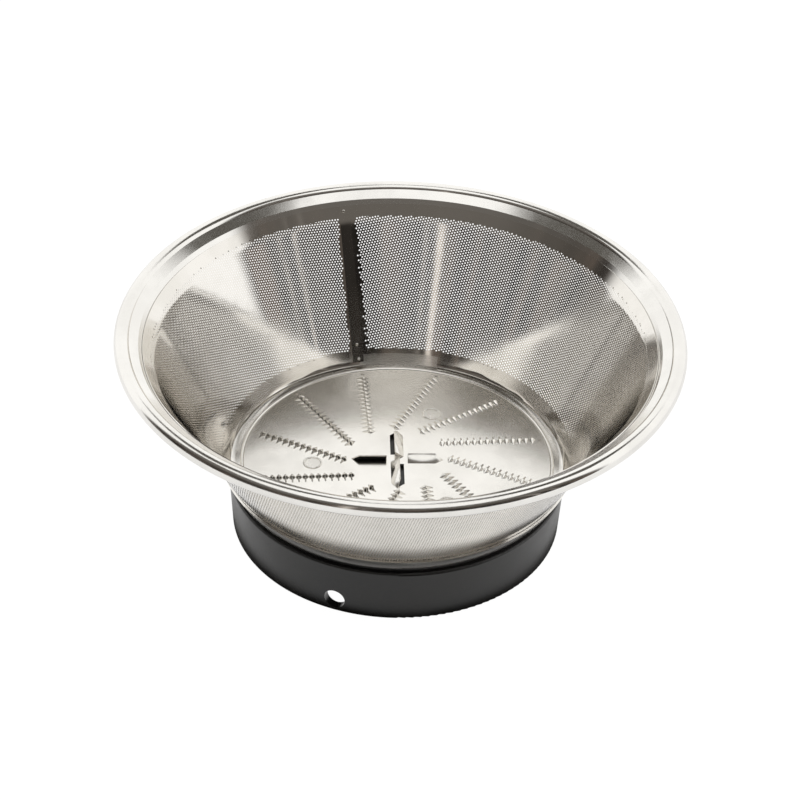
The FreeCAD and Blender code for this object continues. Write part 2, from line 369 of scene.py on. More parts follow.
pick(card, "polygons", [abs(p.center.x) < 0.02 and p.center.y > 0.2 for p in card.data.polygons])
bpy.ops.mesh.delete(type="FACE")
bpy.ops.object.mode_set(mode="OBJECT")
print("card", len(card.data.polygons), "faces")

# %% Tone of the card
dim = bpy.data.materials.new("dim_card")
dim.use_nodes = True
tree = dim.node_tree
tree.nodes.clear()
clear = add_node(tree, "ShaderNodeBsdfTransparent", Color=WHITE)
tone = add_node(tree, "ShaderNodeEmission", Color=(0.10, 0.093, 0.082, 1), Strength=1.0)
share = tree.nodes.new("ShaderNodeMixShader")
tree.links.new(tree.nodes.new("ShaderNodeLightPath").outputs["Is Glossy Ray"], share.inputs["Fac"])
tree.links.new(clear.outputs[0], share.inputs[1])
tree.links.new(tone.outputs[0], share.inputs[2])
tree.links.new(share.outputs[0], tree.nodes.new("ShaderNodeOutputMaterial").inputs["Surface"])
card.data.materials.append(dim)
print("card nodes", len(tree.nodes))

# %% [markdown]
# Two effects are shared by the finishes. Handling marks are broad soft patches where the metal is a little
# duller, and they change tone and roughness together. Grain is the fine unevenness of the surface itself,
# given as a height for a Bump node. Both are node groups, so each finish places them with its own values.

# %% Shared effects
NUMBER = "NodeSocketFloat"
COLOUR = "NodeSocketColor"


def effect_group(name, inputs, outputs):
    """Start a shader node group with named sockets."""
    group = bpy.data.node_groups.new(name, "ShaderNodeTree")
    for label, kind in inputs:
        group.interface.new_socket(label, in_out="INPUT", socket_type=kind)
    for label, kind in outputs:
        group.interface.new_socket(label, in_out="OUTPUT", socket_type=kind)
    return group, group.nodes.new("NodeGroupInput"), group.nodes.new("NodeGroupOutput")


marks, given, result = effect_group(
    "handling_marks",
    [("Clean", COLOUR), ("Dull", COLOUR), ("Scale", NUMBER), ("Roughness", NUMBER), ("Spread", NUMBER)],
    [("Color", COLOUR), ("Roughness", NUMBER)],
)
place = marks.nodes.new("ShaderNodeTexCoord")
cloud = add_node(marks, "ShaderNodeTexNoise", Detail=4.0, Roughness=0.6)
marks.links.new(place.outputs["Object"], cloud.inputs["Vector"])
marks.links.new(given.outputs["Scale"], cloud.inputs["Scale"])
patch = ease(marks, cloud.outputs["Fac"], 0.35, 0.68)
patched = mix_colour(marks, patch, given.outputs["Clean"], given.outputs["Dull"])
marks.links.new(patched, result.inputs["Color"])
rougher = math_node(marks, "MULTIPLY", patch, given.outputs["Spread"])
rougher = math_node(marks, "ADD", given.outputs["Roughness"], rougher)
marks.links.new(rougher, result.inputs["Roughness"])

grain, given, result = effect_group("fine_grain", [("Scale", NUMBER)], [("Height", NUMBER)])
place = grain.nodes.new("ShaderNodeTexCoord")
speckle = add_node(grain, "ShaderNodeTexNoise", Detail=2.0)
grain.links.new(place.outputs["Object"], speckle.inputs["Vector"])
grain.links.new(given.outputs["Scale"], speckle.inputs["Scale"])
grain.links.new(speckle.outputs["Fac"], result.inputs["Height"])
print("groups", [g.name for g in bpy.data.node_groups])

# %% [markdown]
# All the steel is one alloy in different finishes. The rim and the cup are polished, the screen is bright
# rolled sheet with a slight wave in it, and the disc is satin, with a grain that breaks the reflection up.
# The base is black plastic with a satin mould texture and a few rubbed patches.

# %% Finishes


def finish_of(name, clean, dull, wear, texture, metallic=1):
    """Make a finish from the two shared effects and a Principled shader.

    wear holds the marks' scale, the roughness and its spread, and texture the grain's scale and depth.
    """
    material = bpy.data.materials.new(name)
    material.use_nodes = True
    tree = material.node_tree
    shader = tree.nodes["Principled BSDF"]
    shader.inputs["Metallic"].default_value = metallic
    soil = tree.nodes.new("ShaderNodeGroup")
    soil.node_tree = marks
    soil.inputs["Clean"].default_value = (*clean, 1)
    soil.inputs["Dull"].default_value = (*dull, 1)
    for label, value in zip(("Scale", "Roughness", "Spread"), wear):
        soil.inputs[label].default_value = value
    tree.links.new(soil.outputs["Color"], shader.inputs["Base Color"])
    tree.links.new(soil.outputs["Roughness"], shader.inputs["Roughness"])
    surface = tree.nodes.new("ShaderNodeGroup")
    surface.node_tree = grain
    grain_scale, grain_depth = texture
    surface.inputs["Scale"].default_value = grain_scale
    bump = add_node(tree, "ShaderNodeBump", Strength=1.0, Distance=grain_depth)
    tree.links.new(surface.outputs["Height"], bump.inputs["Height"])
    tree.links.new(bump.outputs["Normal"], shader.inputs["Normal"])
    return material


rim_finish = finish_of(
    "rim_polish", (0.86, 0.845, 0.815), (0.80, 0.785, 0.755), wear=(45, 0.10, 0.08), texture=(60, 0.00003)
)
screen_finish = finish_of(
    "bright_sheet", (0.83, 0.805, 0.765), (0.77, 0.745, 0.70), wear=(60, 0.07, 0.07), texture=(70, 0.00004)
)
cup_finish = finish_of(
    "cup_polish", (0.83, 0.81, 0.775), (0.77, 0.75, 0.715), wear=(60, 0.12, 0.08), texture=(80, 0.00003)
)
disc_finish = finish_of(
    "satin_disc", (0.86, 0.84, 0.80), (0.81, 0.79, 0.75), wear=(50, 0.17, 0.06), texture=(2600, 0.00001)
)
rivet_finish = finish_of(
    "satin_rivet", (0.84, 0.82, 0.78), (0.78, 0.76, 0.72), wear=(90, 0.24, 0.08), texture=(2200, 0.00002)
)
base_finish = finish_of(
    "satin_black",
    (0.010, 0.010, 0.010),
    (0.018, 0.017, 0.016),
    wear=(40, 0.28, 0.10),
    texture=(1500, 0.00002),
    metallic=0,
)
for node, finish in (("disc_rivets", rivet_finish), ("drive_base", base_finish), ("drive_hub", base_finish)):
    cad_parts[node].material_slots[0].material = finish
    print(node, "wears", finish.name)

# %% [markdown]
# The screen starts flat, as the real one does: a blank in the shape of a wide arc is etched with a straight
# lattice of holes and then rolled into a cone. Cutting the holes into a finished cone would be possible, but
# then they would follow the cone's rings. Because the real lattice is straight and the field is not, the
# field's edges come out stepped, as in the photograph.

# %% Sizes of the rolled screen
foot_r = 50.6 * MM
floor_z = 20.2 * MM
slope = math.radians(61.2)
screen_slant = 51.8 * MM
sheet_start = 0.71 * MM
sheet_t = 0.3 * MM
field_start = 4.85 * MM
field_end = 48.7 * MM
band_half = 2.45 * MM
seam_angle = math.radians(104.5)
hole_pitch = 0.9 * MM
hole_r = 0.27 * MM
apex_to_foot = foot_r / math.cos(slope)
outer_reach = apex_to_foot + screen_slant
blank_angle = 2 * math.pi * math.cos(slope)
print("blank from", round(apex_to_foot, 4), "m over", round(math.degrees(blank_angle), 1), "degrees")

# %% [markdown]
# A flat blank and a cone are one surface, rolled differently: a distance from the blank's apex stays a
# distance up the slant, and an angle in the blank opens out to a full turn. The same function leans the
# collar over the field outwards and curls the foot in a little, with a slight wave, as pressing leaves it.

# %% Way from the flat blank to the cone
collar_start = 46.0 * MM
collar_ease = 1.0 * MM
collar_lean = math.tan(math.radians(9.8))
curl_start = 1.7 * MM
curl_depth = 0.35 * MM


def to_blank(x, y):
    """Distance from the blank's apex and angle round it, counted from the blank's first end."""
    angle = np.arctan2(y, x)
    return np.hypot(x, y), np.where(angle < -math.pi / 2, angle + 2 * math.pi, angle)


def collar(slant):
    """How far the collar over the field leans out from the wall's line."""
    past = np.maximum(slant - collar_start, 0)
    return collar_lean * np.where(past < collar_ease, past**2 / (2 * collar_ease), past - collar_ease / 2)


def roll_up(places, depth=0.0):
    """Roll flat blank places into the cone. depth moves them in from the sheet's inner face."""
    reach, angle = to_blank(places[:, 0], places[:, 1])
    slant = reach - apex_to_foot
    turn = seam_angle + angle / math.cos(slope)
    wave = 1 + 0.10 * np.sin(7 * turn + 0.6) + 0.10 * np.sin(19 * turn) + 0.06 * np.sin(41 * turn + 2)
    curl = np.clip((curl_start * wave - slant) / curl_start, 0, 1) ** 2
    depth = depth + curl_depth * curl - collar(slant)
    radius = foot_r + slant * math.cos(slope) - depth * math.sin(slope)
    up = floor_z + slant * math.sin(slope) + depth * math.cos(slope)
    return np.stack([radius * np.cos(turn), radius * np.sin(turn), up], 1)


print("top of the sheet at", roll_up(np.array([[outer_reach, 0.0, 0.0]])).round(4)[0])

# %% [markdown]
# The etching mask is a lattice of equal triangles. A grid is stretched so that its columns lie at the right
# distance, every second column is slid half a pitch, and its squares are cut along their shorter diagonals.
# It covers the whole blank and more, and the next step trims it.

# %% Lattice on the flat blank
column_step = hole_pitch * math.sqrt(3) / 2
columns = 2 * int(outer_reach / column_step) + 6
lowest = max(0.0, outer_reach * math.sin(blank_angle - math.pi))
rows = int((outer_reach + lowest) / hole_pitch) + 6
deselect()
bpy.ops.mesh.primitive_grid_add(x_subdivisions=columns, y_subdivisions=rows, size=2)
sheet = bpy.context.object
sheet.name = "sieve_sheet"
bpy.ops.object.mode_set(mode="EDIT")
bpy.ops.transform.resize(value=(columns * column_step / 2, rows * hole_pitch / 2, 1))
bpy.ops.transform.translate(value=(0, (outer_reach - lowest) / 2, 0))
bpy.ops.object.mode_set(mode="OBJECT")
column = np.rint(read_places(sheet.data)[:, 0] / column_step)
pick(sheet, "vertices", column % 2 == 1)
bpy.ops.transform.translate(value=(0, hole_pitch / 2, 0))
bpy.ops.mesh.select_all(action="SELECT")
bpy.ops.mesh.quads_convert_to_tris(quad_method="SHORTEST_DIAGONAL")
bpy.ops.object.mode_set(mode="OBJECT")
print("lattice points", len(sheet.data.vertices))

# %% [markdown]
# Holes are wanted only inside the field, so triangles that touch no hole are deleted first. A vertex bevel
# then turns each lattice point of the field into a six-sided face of the hole's size, and those faces are
# deleted too. One bevel of all the points is far quicker than cutting the holes one by one.

# %% Holes where the field is
EDGE_NOTCH = 0.45 * hole_pitch
SEAM_NOTCH = 0.7 * hole_pitch
seam_margin = band_half - 0.3 * hole_pitch


def notched(along, depth):
    """Depth of the notches that come and go every two pitches along an edge of the field."""
    return np.where((along / (2 * hole_pitch)) % 1 < 0.5, depth, 0)


def in_field(places):
    """Lattice points that become holes: between the margins and clear of the seam's plain band."""
    reach, angle = to_blank(places[:, 0], places[:, 1])
    slant = reach - apex_to_foot
    notch = notched(reach * angle, EDGE_NOTCH)
    inside = (slant > field_start + hole_r + notch) & (slant < field_end - hole_r - notch)
    from_end = reach * np.sin(np.clip(np.minimum(angle, blank_angle - angle), -1.5, 1.5))
    return inside & (from_end > seam_margin + hole_r + notched(slant, SEAM_NOTCH))


holed = in_field(read_places(sheet.data))
corners = np.empty(len(sheet.data.polygons) * 3, np.int32)
sheet.data.polygons.foreach_get("vertices", corners)
pick(sheet, "polygons", ~holed[corners.reshape(-1, 3)].any(1))
bpy.ops.mesh.delete(type="FACE")
bpy.ops.object.mode_set(mode="OBJECT")
holed = in_field(read_places(sheet.data))
pick(sheet, "vertices", holed)
bpy.ops.mesh.bevel(offset_type="OFFSET", offset=hole_r, segments=1, affect="VERTICES", clamp_overlap=False)
bpy.ops.object.mode_set(mode="OBJECT")
hole_area = 1.5 * math.sqrt(3) * hole_r**2
is_hole = np.abs(read_areas(sheet.data) / hole_area - 1) < 0.05
pick(sheet, "polygons", is_hole)
bpy.ops.mesh.delete(type="FACE")
bpy.ops.object.mode_set(mode="OBJECT")
print("holes", int(holed.sum()), "cut", int(is_hole.sum()))

# %% [markdown]
# Round the field the sheet is plain. The blank's outline starts as one straight end, and Spin draws the two
# arcs from its ends and then sets a copy of it as the other end. Its corners are merged over a generous
# distance, because Fill closes the wrong side of an outline that is open. Sections are drawn in the same way
# further down: one point is added and pushed along.

# %% Outline of the blank
END_CUTS = 48
ARC_STEPS = 480
OUTLINE_MERGE = 2e-5
inner_reach = apex_to_foot + 3.9 * MM


def start_point(place):
    """Add a mesh of one vertex at a place, and stay in edit mode."""
    deselect()
    bpy.ops.mesh.primitive_plane_add(size=MM)
    bpy.ops.object.mode_set(mode="EDIT")
    bpy.ops.mesh.select_mode(type="VERT")
    bpy.ops.mesh.select_all(action="SELECT")
    bpy.ops.mesh.merge(type="CENTER")
    bpy.ops.transform.translate(value=place)
    return bpy.context.object


def push_point(step):
    """Extrude the selected vertex by a step."""
    bpy.ops.mesh.extrude_vertices_move(TRANSFORM_OT_translate={"value": tuple(step)})


outline = start_point((inner_reach, 0, 0))
push_point((outer_reach - inner_reach, 0, 0))
bpy.ops.mesh.select_all(action="SELECT")
bpy.ops.mesh.subdivide(number_cuts=END_CUTS)
bpy.ops.object.mode_set(mode="OBJECT")
along = read_places(outline.data)[:, 0]
pick(outline, "vertices", (along < along.min() + HAIR) | (along > along.max() - HAIR))
bpy.ops.mesh.spin(steps=ARC_STEPS, angle=-blank_angle, center=(0, 0, 0), axis=(0, 0, 1))
bpy.ops.object.mode_set(mode="OBJECT")
pick(outline, "vertices", np.abs(read_places(outline.data)[:, 1]) < SAME)
bpy.ops.mesh.spin(steps=1, dupli=True, angle=-blank_angle, center=(0, 0, 0), axis=(0, 0, 1))
bpy.ops.mesh.select_all(action="SELECT")
bpy.ops.mesh.remove_doubles(threshold=OUTLINE_MERGE)
bpy.ops.object.mode_set(mode="OBJECT")
highest = float(read_places(outline.data)[:, 1].max())
print("outline", len(outline.data.vertices), "points, highest", round(highest, 4))

# %% [markdown]
# Joined with the field, the outline bounds the plain margins together with the field's stepped edge, and
# Fill closes the space between them. The edges round each hole are shorter than those of the stepped edge,
# so their length tells which ones have to stay open.

# %% Plain margins round the field
sheet = join([sheet, outline])
ends = read_ends(sheet.data)
places = read_places(sheet.data)
lengths = np.linalg.norm(places[ends[:, 1]] - places[ends[:, 0]], axis=1)
used = np.empty(len(sheet.data.loops), np.int32)
sheet.data.loops.foreach_get("edge_index", used)
faces_there = np.bincount(used, minlength=len(lengths))
stepped_edge = (faces_there == 1) & (lengths > hole_pitch * 0.9)
pick(sheet, "edges", (faces_there == 0) | stepped_edge)
bpy.ops.mesh.fill(use_beauty=True)
face_outwards()
print("faces with the margins", len(sheet.data.polygons))

# %% [markdown]
# The last few millimetres at the foot are extruded inwards ring by ring, so that they can curl smoothly.
# The sheet's area is then compared with that of the whole arc less the holes, which shows at once if Fill
# closed the wrong side.

# %% Foot in narrow rings
RINGS = 9
foot_reach = apex_to_foot + sheet_start
at_foot = np.abs(np.linalg.norm(read_places(sheet.data), axis=1) - inner_reach) < HAIR
pick(sheet, "edges", at_foot[read_ends(sheet.data)].all(1))
reaches = [inner_reach + (foot_reach - inner_reach) * ring / RINGS for ring in range(RINGS + 1)]
for reach_now, reach_next in zip(reaches, reaches[1:]):
    bpy.ops.mesh.extrude_edges_move()
    bpy.ops.transform.resize(value=(reach_next / reach_now,) * 3, center_override=(0, 0, 0))
face_outwards()
area = read_areas(sheet.data).sum()
whole = blank_angle / 2 * (outer_reach**2 - foot_reach**2)
cut_away = is_hole.sum() * hole_area
print("sheet area", round(area * 1e6), "mm2 of", round(whole * 1e6), "less", round(cut_away * 1e6))

# %% [markdown]
# The finished blank is rolled up by moving its points, and its flat form is kept as the UV map. Six sectors
# keep each mesh at a size that can be written whole, and Solidify gives the sheet its thickness, outwards
# from the inner face.

# %% Roll the sheet up and split it into sectors
SECTORS = 6
blank = read_places(sheet.data)
layer = sheet.data.uv_layers.new(name="OFBake")
corner_of = np.empty(len(sheet.data.loops), np.int32)
sheet.data.loops.foreach_get("vertex_index", corner_of)
layer.uv.foreach_set("vector", blank[corner_of][:, :2].astype(np.float32).reshape(-1))
write_places(sheet.data, roll_up(blank))
centres = np.empty(len(sheet.data.polygons) * 3)
sheet.data.polygons.foreach_get("center", centres)
centres = centres.reshape(-1, 3)
turned = (np.arctan2(centres[:, 1], centres[:, 0]) - seam_angle) % (2 * math.pi)
sector_of = np.minimum((turned / (2 * math.pi) * SECTORS).astype(int), SECTORS - 1)
sectors = []
for index in range(SECTORS - 1):
    pick(sheet, "polygons", sector_of == index)
    bpy.ops.mesh.separate(type="SELECTED")
    bpy.ops.object.mode_set(mode="OBJECT")
    sectors.append([o for o in bpy.context.selected_objects if o is not sheet][0])
    sector_of = sector_of[sector_of != index]
sectors.append(sheet)
print("sectors", len(sectors))

# %% Thickness and finish of the sectors
UV_EDGE = 0.005
SMOOTH_ANGLE = math.radians(35)


def outer_side(faces):
    """Solidify offset that thickens a rolled sheet away from the axis."""
    inward = sum(p.normal.xy.dot(p.center.xy) * p.area for p in faces)
    return -1 if inward < 0 else 1


def finish_piece(piece, name, slot, material, *stands_for):
    """Name a piece, give it its finish and tie it to the part."""
    piece.name = name
    piece.data.name = name
    piece.data.materials.clear()
    piece.data.materials.append(material)
    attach(piece, "root")
    if stands_for:
        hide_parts(*stands_for)
    piece.data.calc_loop_triangles()
    print(name, len(piece.data.loop_triangles), "triangles")


for index, piece in enumerate(sectors):
    piece.data.update()
    layer = piece.data.uv_layers["OFBake"]
    flat = np.empty(len(piece.data.loops) * 2, np.float32)
    layer.uv.foreach_get("vector", flat)
    flat = flat.reshape(-1, 2)
    flat = (flat - flat.min(0)) / np.ptp(flat, axis=0).max()
    layer.uv.foreach_set("vector", (UV_EDGE + (1 - 2 * UV_EDGE) * flat).reshape(-1))
    apply_modifier(piece, "SOLIDIFY", thickness=sheet_t, offset=outer_side(piece.data.polygons[:400]))
    bpy.ops.object.shade_smooth_by_angle(angle=SMOOTH_ANGLE)
    finish_piece(piece, "sieve_sector_%d" % (index + 1), "screen_steel", screen_finish, "sieve_screen")

# %% [markdown]
# On the real screen the two ends of the sheet lap over each other and are spot welded. The lap is a narrow
# strip that stands a quarter of a millimetre proud along one edge, and each weld is a small flat button.

# %% Lap of the seam
lap_half_length = 25.0 * MM
lap_half_width = 1.7 * MM
lap_middle = (apex_to_foot + 26.6 * MM, 0.5 * MM, 0)
lap_proud = 0.25 * MM
lap_gap = 0.02 * MM
lap_t = 0.2 * MM
deselect()
bpy.ops.mesh.primitive_grid_add(x_subdivisions=60, y_subdivisions=3, size=2)
lap = bpy.context.object
bpy.ops.object.mode_set(mode="EDIT")
bpy.ops.transform.resize(value=(lap_half_length, lap_half_width, 1))
bpy.ops.transform.translate(value=lap_middle)
bpy.ops.object.mode_set(mode="OBJECT")
flat = read_places(lap.data)
lift = (lap_middle[1] + lap_half_width - flat[:, 1]) / (2 * lap_half_width) * lap_proud
write_places(lap.data, roll_up(flat, lift + lap_gap))
apply_modifier(lap, "SOLIDIFY", thickness=lap_t, offset=outer_side(lap.data.polygons))
bpy.ops.object.shade_smooth_by_angle(angle=SMOOTH_ANGLE)
print("lap", len(lap.data.polygons), "faces")

# %% Spot welds
# Each weld has its slant height, its distance from the seam and its depth, in millimetres.
WELDS = ((50.2, 0.7, 0.15), (7.3, 0.5, 0.15), (2.6, 0.3, 0.2))
weld_r = 0.5 * MM
weld_flatness = 0.4


def weld_button(slant, along, depth):
    """Flat round button on the screen's inner face."""
    spot = Vector(roll_up(np.array([[apex_to_foot + slant * MM, along * MM, 0.0]]), depth * MM)[0])
    out = Vector((-spot.x, -spot.y, 0)).normalized() * math.sin(slope) + Vector((0, 0, math.cos(slope)))
    deselect()
    bpy.ops.mesh.primitive_uv_sphere_add(segments=20, ring_count=10, radius=weld_r, location=spot)
    button = bpy.context.object
    button.scale = (1, 1, weld_flatness)
    button.rotation_euler = out.to_track_quat("Z", "Y").to_euler()
    bpy.ops.object.transform_apply()
    bpy.ops.object.shade_smooth()
    return button


buttons = [weld_button(*weld) for weld in WELDS]
finish_piece(join([lap] + buttons), "seam_lap", "screen_steel", screen_finish)

# %% [markdown]
# The rim is a strip of steel bent in rollers: a short skirt welded outside the screen, a flare and an open
# bead along the edge. Its section is drawn by pushing one point along, and turned once round the axis.

# %% Helpers for turned sections


def draw_chain(points):
    """Draw a chain of points by extruding one vertex, and stay in edit mode."""
    piece = start_point(points[0])
    for start, end in zip(points, points[1:]):
        push_point(Vector(end) - Vector(start))
    bpy.ops.mesh.select_all(action="SELECT")
    bpy.ops.mesh.remove_doubles(threshold=SAME)
    return piece


def turn_chain(steps):
    """Turn the section that was just drawn once round the axis and leave edit mode."""
    bpy.ops.mesh.select_all(action="SELECT")
    bpy.ops.mesh.spin(steps=steps, angle=2 * math.pi, center=(0, 0, 0), axis=(0, 0, 1))
    bpy.ops.mesh.select_all(action="SELECT")
    bpy.ops.mesh.remove_doubles(threshold=SAME)
    face_outwards()
    bpy.ops.object.shade_smooth_by_angle(angle=SMOOTH_ANGLE)


def on_wall(slant, outside):
    """Section point on the wall's line, in millimetres up the slant and outside the inner face."""
    out = outside * MM + float(collar(slant * MM))
    radius = foot_r + slant * MM * math.cos(slope) + out * math.sin(slope)
    return Vector((radius, 0, floor_z + slant * MM * math.sin(slope) - out * math.cos(slope)))


def round_off(centre, radius, first, last, steps):
    """Points on an arc in the section, angles in degrees."""
    angles = [math.radians(first + (last - first) * k / steps) for k in range(steps + 1)]
    return [centre + Vector((math.cos(a), 0, math.sin(a))) * radius * MM for a in angles]


print("foot of the wall at", [round(c, 4) for c in on_wall(0.0, 0.0)])

# %% Rolled rim
RIM_STEPS = 288
CREASE_ANGLE = math.radians(8)
bead = Vector((82.6, 0, 66.8)) * MM
bead_outer, bead_inner = 2.4, 1.7
bead_first, bead_last, bead_steps = 152, -70, 32
skirt = (48.0, 51.0, 53.4)
skirt_inside, skirt_outside = 0.4, 1.1
section = [on_wall(slant, skirt_inside) for slant in skirt]
section += round_off(bead, bead_outer, bead_first, bead_last, bead_steps)
section += round_off(bead, bead_inner, bead_last, bead_first, bead_steps)
section += [on_wall(slant, skirt_outside) for slant in reversed(skirt)]
section += [section[0]]
rim = draw_chain(section)
turn_chain(RIM_STEPS)
bpy.ops.object.shade_smooth_by_angle(angle=CREASE_ANGLE)
finish_piece(rim, "rolled_rim", "rim_steel", rim_finish, "rim_ring")

# %% [markdown]
# The grater disc is a flat blank with slots lanced in it. Behind each slot the sheet is pushed up into a
# small scoop with a sharp lip, so that the lips shave the fruit as the disc turns. A scoop is half a cone
# lying on the sheet with a narrow tail in front of its mouth. A row is one scoop repeated, and the rows are
# copied round the disc.

# %% One scoop with its tail
disc_top = 20.9 * MM
row_start = Vector((14.6, 7.3, 0)) * MM
tooth_h = 0.95 * MM
scoop_r = 0.95 * MM
scoop_length = 1.8 * MM
scoop_t = 0.25 * MM
tail_size = (0.5 * MM, 2.3 * MM, tooth_h)
tail_middle = 1.1 * MM
tail_crest = 0.25
tail_end_h = 0.15 * MM
deselect()
bpy.ops.mesh.primitive_cone_add(
    vertices=28,
    radius1=scoop_r,
    radius2=0,
    depth=scoop_length,
    end_fill_type="NOTHING",
    location=row_start + Vector((0, -scoop_length / 2, disc_top)),
    rotation=(math.pi / 2, 0, 0),
)
scoops = bpy.context.object
bpy.ops.object.transform_apply()
bpy.ops.object.mode_set(mode="EDIT")
bpy.ops.mesh.select_all(action="SELECT")
bpy.ops.mesh.bisect(plane_co=(0, 0, disc_top), plane_no=(0, 0, 1), clear_inner=True)
bpy.ops.mesh.select_all(action="SELECT")
bpy.ops.transform.resize(value=(1, 1, tooth_h / scoop_r), center_override=(0, 0, disc_top))
bpy.ops.object.mode_set(mode="OBJECT")
apply_modifier(scoops, "SOLIDIFY", thickness=scoop_t, offset=-1)
deselect()
bpy.ops.mesh.primitive_cube_add(size=1)
tail = bpy.context.object
bpy.ops.object.mode_set(mode="EDIT")
bpy.ops.transform.resize(value=tail_size)
bpy.ops.transform.translate(value=row_start + Vector((0, tail_middle, disc_top + tooth_h / 2)))
bpy.ops.object.mode_set(mode="OBJECT")
places = read_places(tail.data)
on_top = places[:, 2] > disc_top + tooth_h / 2
pick(tail, "vertices", on_top)
bpy.ops.transform.resize(value=(tail_crest, 1, 1), center_override=row_start)
bpy.ops.object.mode_set(mode="OBJECT")
pick(tail, "vertices", on_top & (places[:, 1] > row_start.y + MM))
bpy.ops.transform.translate(value=(0, 0, tail_end_h - tooth_h))
bpy.ops.object.mode_set(mode="OBJECT")
scoops = join([scoops, tail])
print("one scoop", len(scoops.data.polygons), "faces")

# %% Rows of scoops
TEETH = 15
tooth_pitch = 2.0 * MM
row_angles = [6 + 30 * k for k in range(12)]


def repeat_along(piece, count):
    """Repeat a piece along X at the tooth pitch."""
    apply_modifier(
        piece,
        "ARRAY",
        count=count,
        use_relative_offset=False,
        use_constant_offset=True,
        constant_offset_displace=(tooth_pitch, 0, 0),
    )


def copies_round(piece, angles):
    """Copy a piece to several angles round the axis, join the copies and drop the pattern."""
    copies = []
    for angle in angles:
        activate(piece)
        bpy.ops.object.duplicate()
        bpy.context.object.rotation_euler[2] = math.radians(angle)
        bpy.ops.object.transform_apply()
        copies.append(bpy.context.object)
    bpy.data.objects.remove(piece)
    return join(copies)


repeat_along(scoops, TEETH)
scoops = copies_round(scoops, row_angles)
print("scoops", len(scoops.data.polygons), "faces")

# %% [markdown]
# The slots are drawn as closed outlines on the disc's top and repeated like the scoops. They become
# openings when the disc is filled, because Fill leaves out what lies inside an inner outline. Each row ends
# in a small round hole.

# %% Slots under the scoops
SLOT = ((-0.5, -0.7), (0.5, -0.7), (0.62, 0.0), (0.62, 0.45), (-0.62, 0.45), (-0.62, 0.0))
ROW_END_R = 0.5
ROW_END_AT = 30.4


def draw_slot(points):
    """Closed outline on the disc's top, from points in millimetres."""
    closed = list(points) + [points[0]]
    piece = draw_chain([Vector((x * MM, y * MM, disc_top)) for x, y in closed])
    bpy.ops.object.mode_set(mode="OBJECT")
    return piece


def draw_hole(radius, x, y, count):
    """Round outline on the disc's top."""
    turns = [2 * math.pi * k / count for k in range(count)]
    return draw_slot([(x + radius * math.cos(a), y + radius * math.sin(a)) for a in turns])


start_x = row_start.x / MM
start_y = row_start.y / MM
slots = draw_slot([(start_x + x, start_y + y) for x, y in SLOT])
repeat_along(slots, TEETH)
row_end = draw_hole(ROW_END_R, start_x + ROW_END_AT, start_y, 12)
slots = copies_round(join([slots, row_end]), row_angles)
print("slots", len(slots.data.edges), "edges")

# %% [markdown]
# The cross in the middle is four larger scoops, long louvres that open the same way round. Each is a wedge
# whose bottom and front are left away, with its outer end drawn to a point. Two reach in to the middle.

# %% Cross of four louvres
LEVEL_ARMS = (2.5, 182.5)
UPRIGHT_ARMS = (92.5, 272.5)
louvre_width = 2.7 * MM
louvre_h = 1.9 * MM
louvre_middle = -0.75 * MM
louvre_tip_y = -0.3 * MM
louvre_t = 0.35 * MM
louvre_round = 0.12 * MM


def make_louvre(start, end, tip):
    """Louvre along X with its lip towards +Y, from a box turned into an open wedge."""
    deselect()
    bpy.ops.mesh.primitive_cube_add(size=1)
    piece = bpy.context.object
    bpy.ops.object.mode_set(mode="EDIT")
    bpy.ops.transform.resize(value=((end - start) * MM, louvre_width, louvre_h))
    bpy.ops.transform.translate(value=((end + start) / 2 * MM, louvre_middle, disc_top + louvre_h / 2))
    bpy.ops.object.mode_set(mode="OBJECT")
    places = read_places(piece.data)
    pick(piece, "vertices", (places[:, 1] < -2 * MM) & (places[:, 2] > disc_top + MM))
    bpy.ops.transform.translate(value=(0, 0, -louvre_h))
    bpy.ops.mesh.select_all(action="SELECT")
    bpy.ops.mesh.remove_doubles(threshold=HAIR)
    bpy.ops.object.mode_set(mode="OBJECT")
    pick(piece, "polygons", [p.normal.x > 0.9 for p in piece.data.polygons])
    bpy.ops.mesh.extrude_region_move(TRANSFORM_OT_translate={"value": ((tip - end) * MM, 0, 0)})
    bpy.ops.mesh.merge(type="CENTER")
    bpy.ops.object.mode_set(mode="OBJECT")
    places = read_places(piece.data)
    pick(piece, "vertices", places[:, 0] > (tip - 0.1) * MM)
    point = places[places[:, 0].argmax()]
    bpy.ops.transform.translate(value=(0, louvre_tip_y - point[1], disc_top - point[2]))
    bpy.ops.object.mode_set(mode="OBJECT")
    pick(piece, "polygons", [p.normal.z < -0.5 or p.normal.y > 0.5 for p in piece.data.polygons])
    bpy.ops.mesh.delete(type="FACE")
    bpy.ops.object.mode_set(mode="OBJECT")
    apply_modifier(piece, "SOLIDIFY", thickness=louvre_t, offset=-1)
    apply_modifier(piece, "BEVEL", width=louvre_round, segments=2)
    return piece


louvres = [
    copies_round(make_louvre(3.2, 11.7, 14.2), LEVEL_ARMS),
    copies_round(make_louvre(1.3, 12.0, 14.6), UPRIGHT_ARMS),
]
print("louvres", sum(len(p.data.polygons) for p in louvres), "faces")

# %% Mouths of the louvres
LEVEL_MOUTH = ((3.4, -1.2), (11.8, -1.2), (13.6, -0.2), (11.9, 2.0), (3.4, 2.0))
UPRIGHT_MOUTH = ((2.3, -1.2), (12.1, -1.2), (14.0, -0.2), (12.2, 2.0), (2.3, 2.0))
mouths = [
    copies_round(draw_slot(LEVEL_MOUTH), LEVEL_ARMS),
    copies_round(draw_slot(UPRIGHT_MOUTH), UPRIGHT_ARMS),
]
print("mouths", sum(len(p.data.edges) for p in mouths), "edges")

